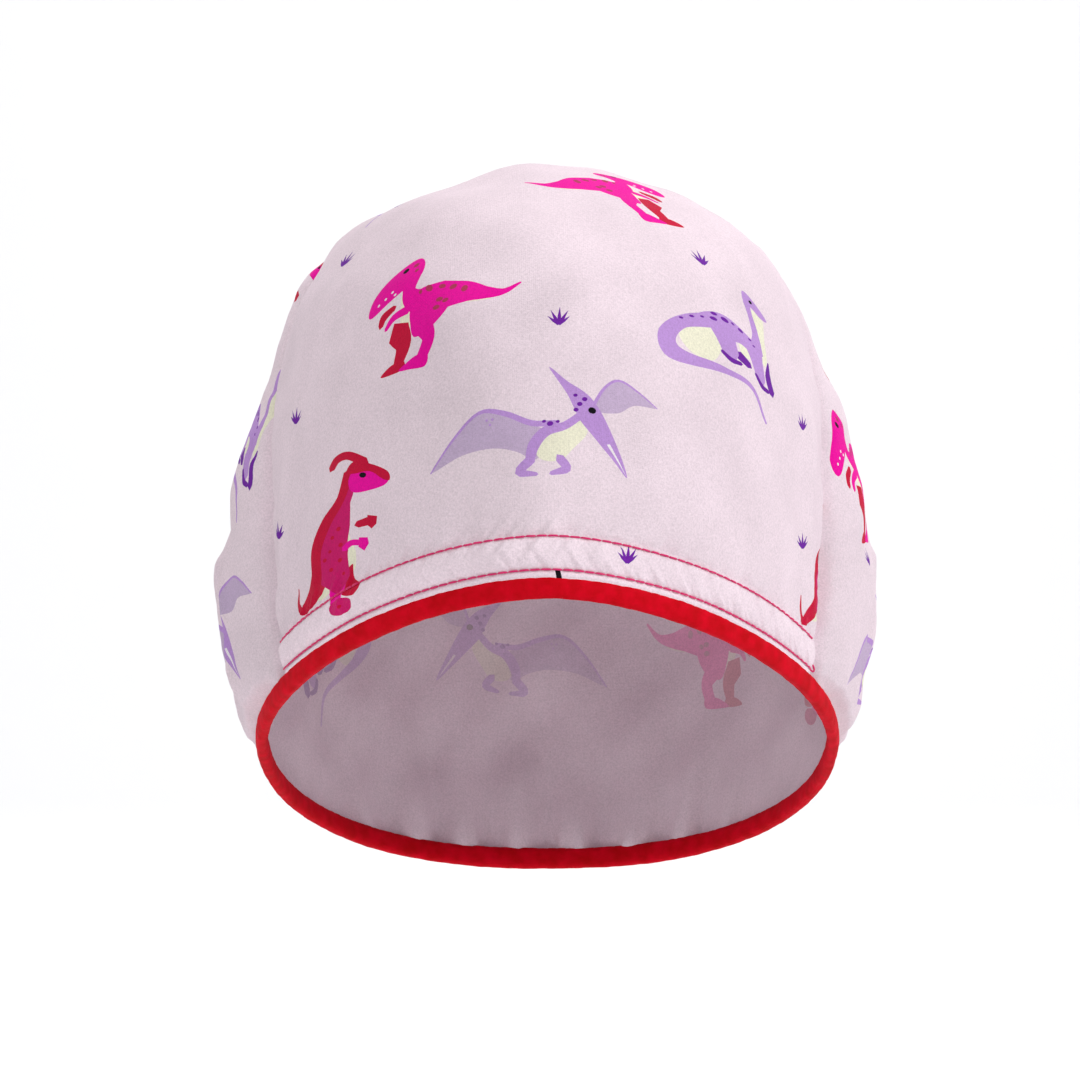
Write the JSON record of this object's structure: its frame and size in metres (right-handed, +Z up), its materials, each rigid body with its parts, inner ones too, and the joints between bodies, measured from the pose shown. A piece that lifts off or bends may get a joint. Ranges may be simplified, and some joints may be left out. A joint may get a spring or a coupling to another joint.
{
  "type": "surgical scrub cap",
  "caption": "Cloth theatre cap: a printed front panel over the forehead and crown, a fuller back panel gathered at the nape, and a rolled red edge binding round the head opening.",
  "frame": {"origin": "the centre of the head opening, in the plane of the binding, where the cap sits on a head", "axes": "+Z up, -Y towards the forehead, +X towards the wearer's left ear, which is the viewer's right from the front"},
  "size_m": [0.1779, 0.2139, 0.1971],
  "materials": {
    "printed_cotton": "matte pale pink cotton with a scattered magenta and lilac print",
    "red_binding": "matte bright red folded cotton tape"
  },
  "bodies": {
    "root": {"front_panel": "printed_cotton", "back_panel": "printed_cotton", "edge_binding": "red_binding"}
  },
  "joints": []
}
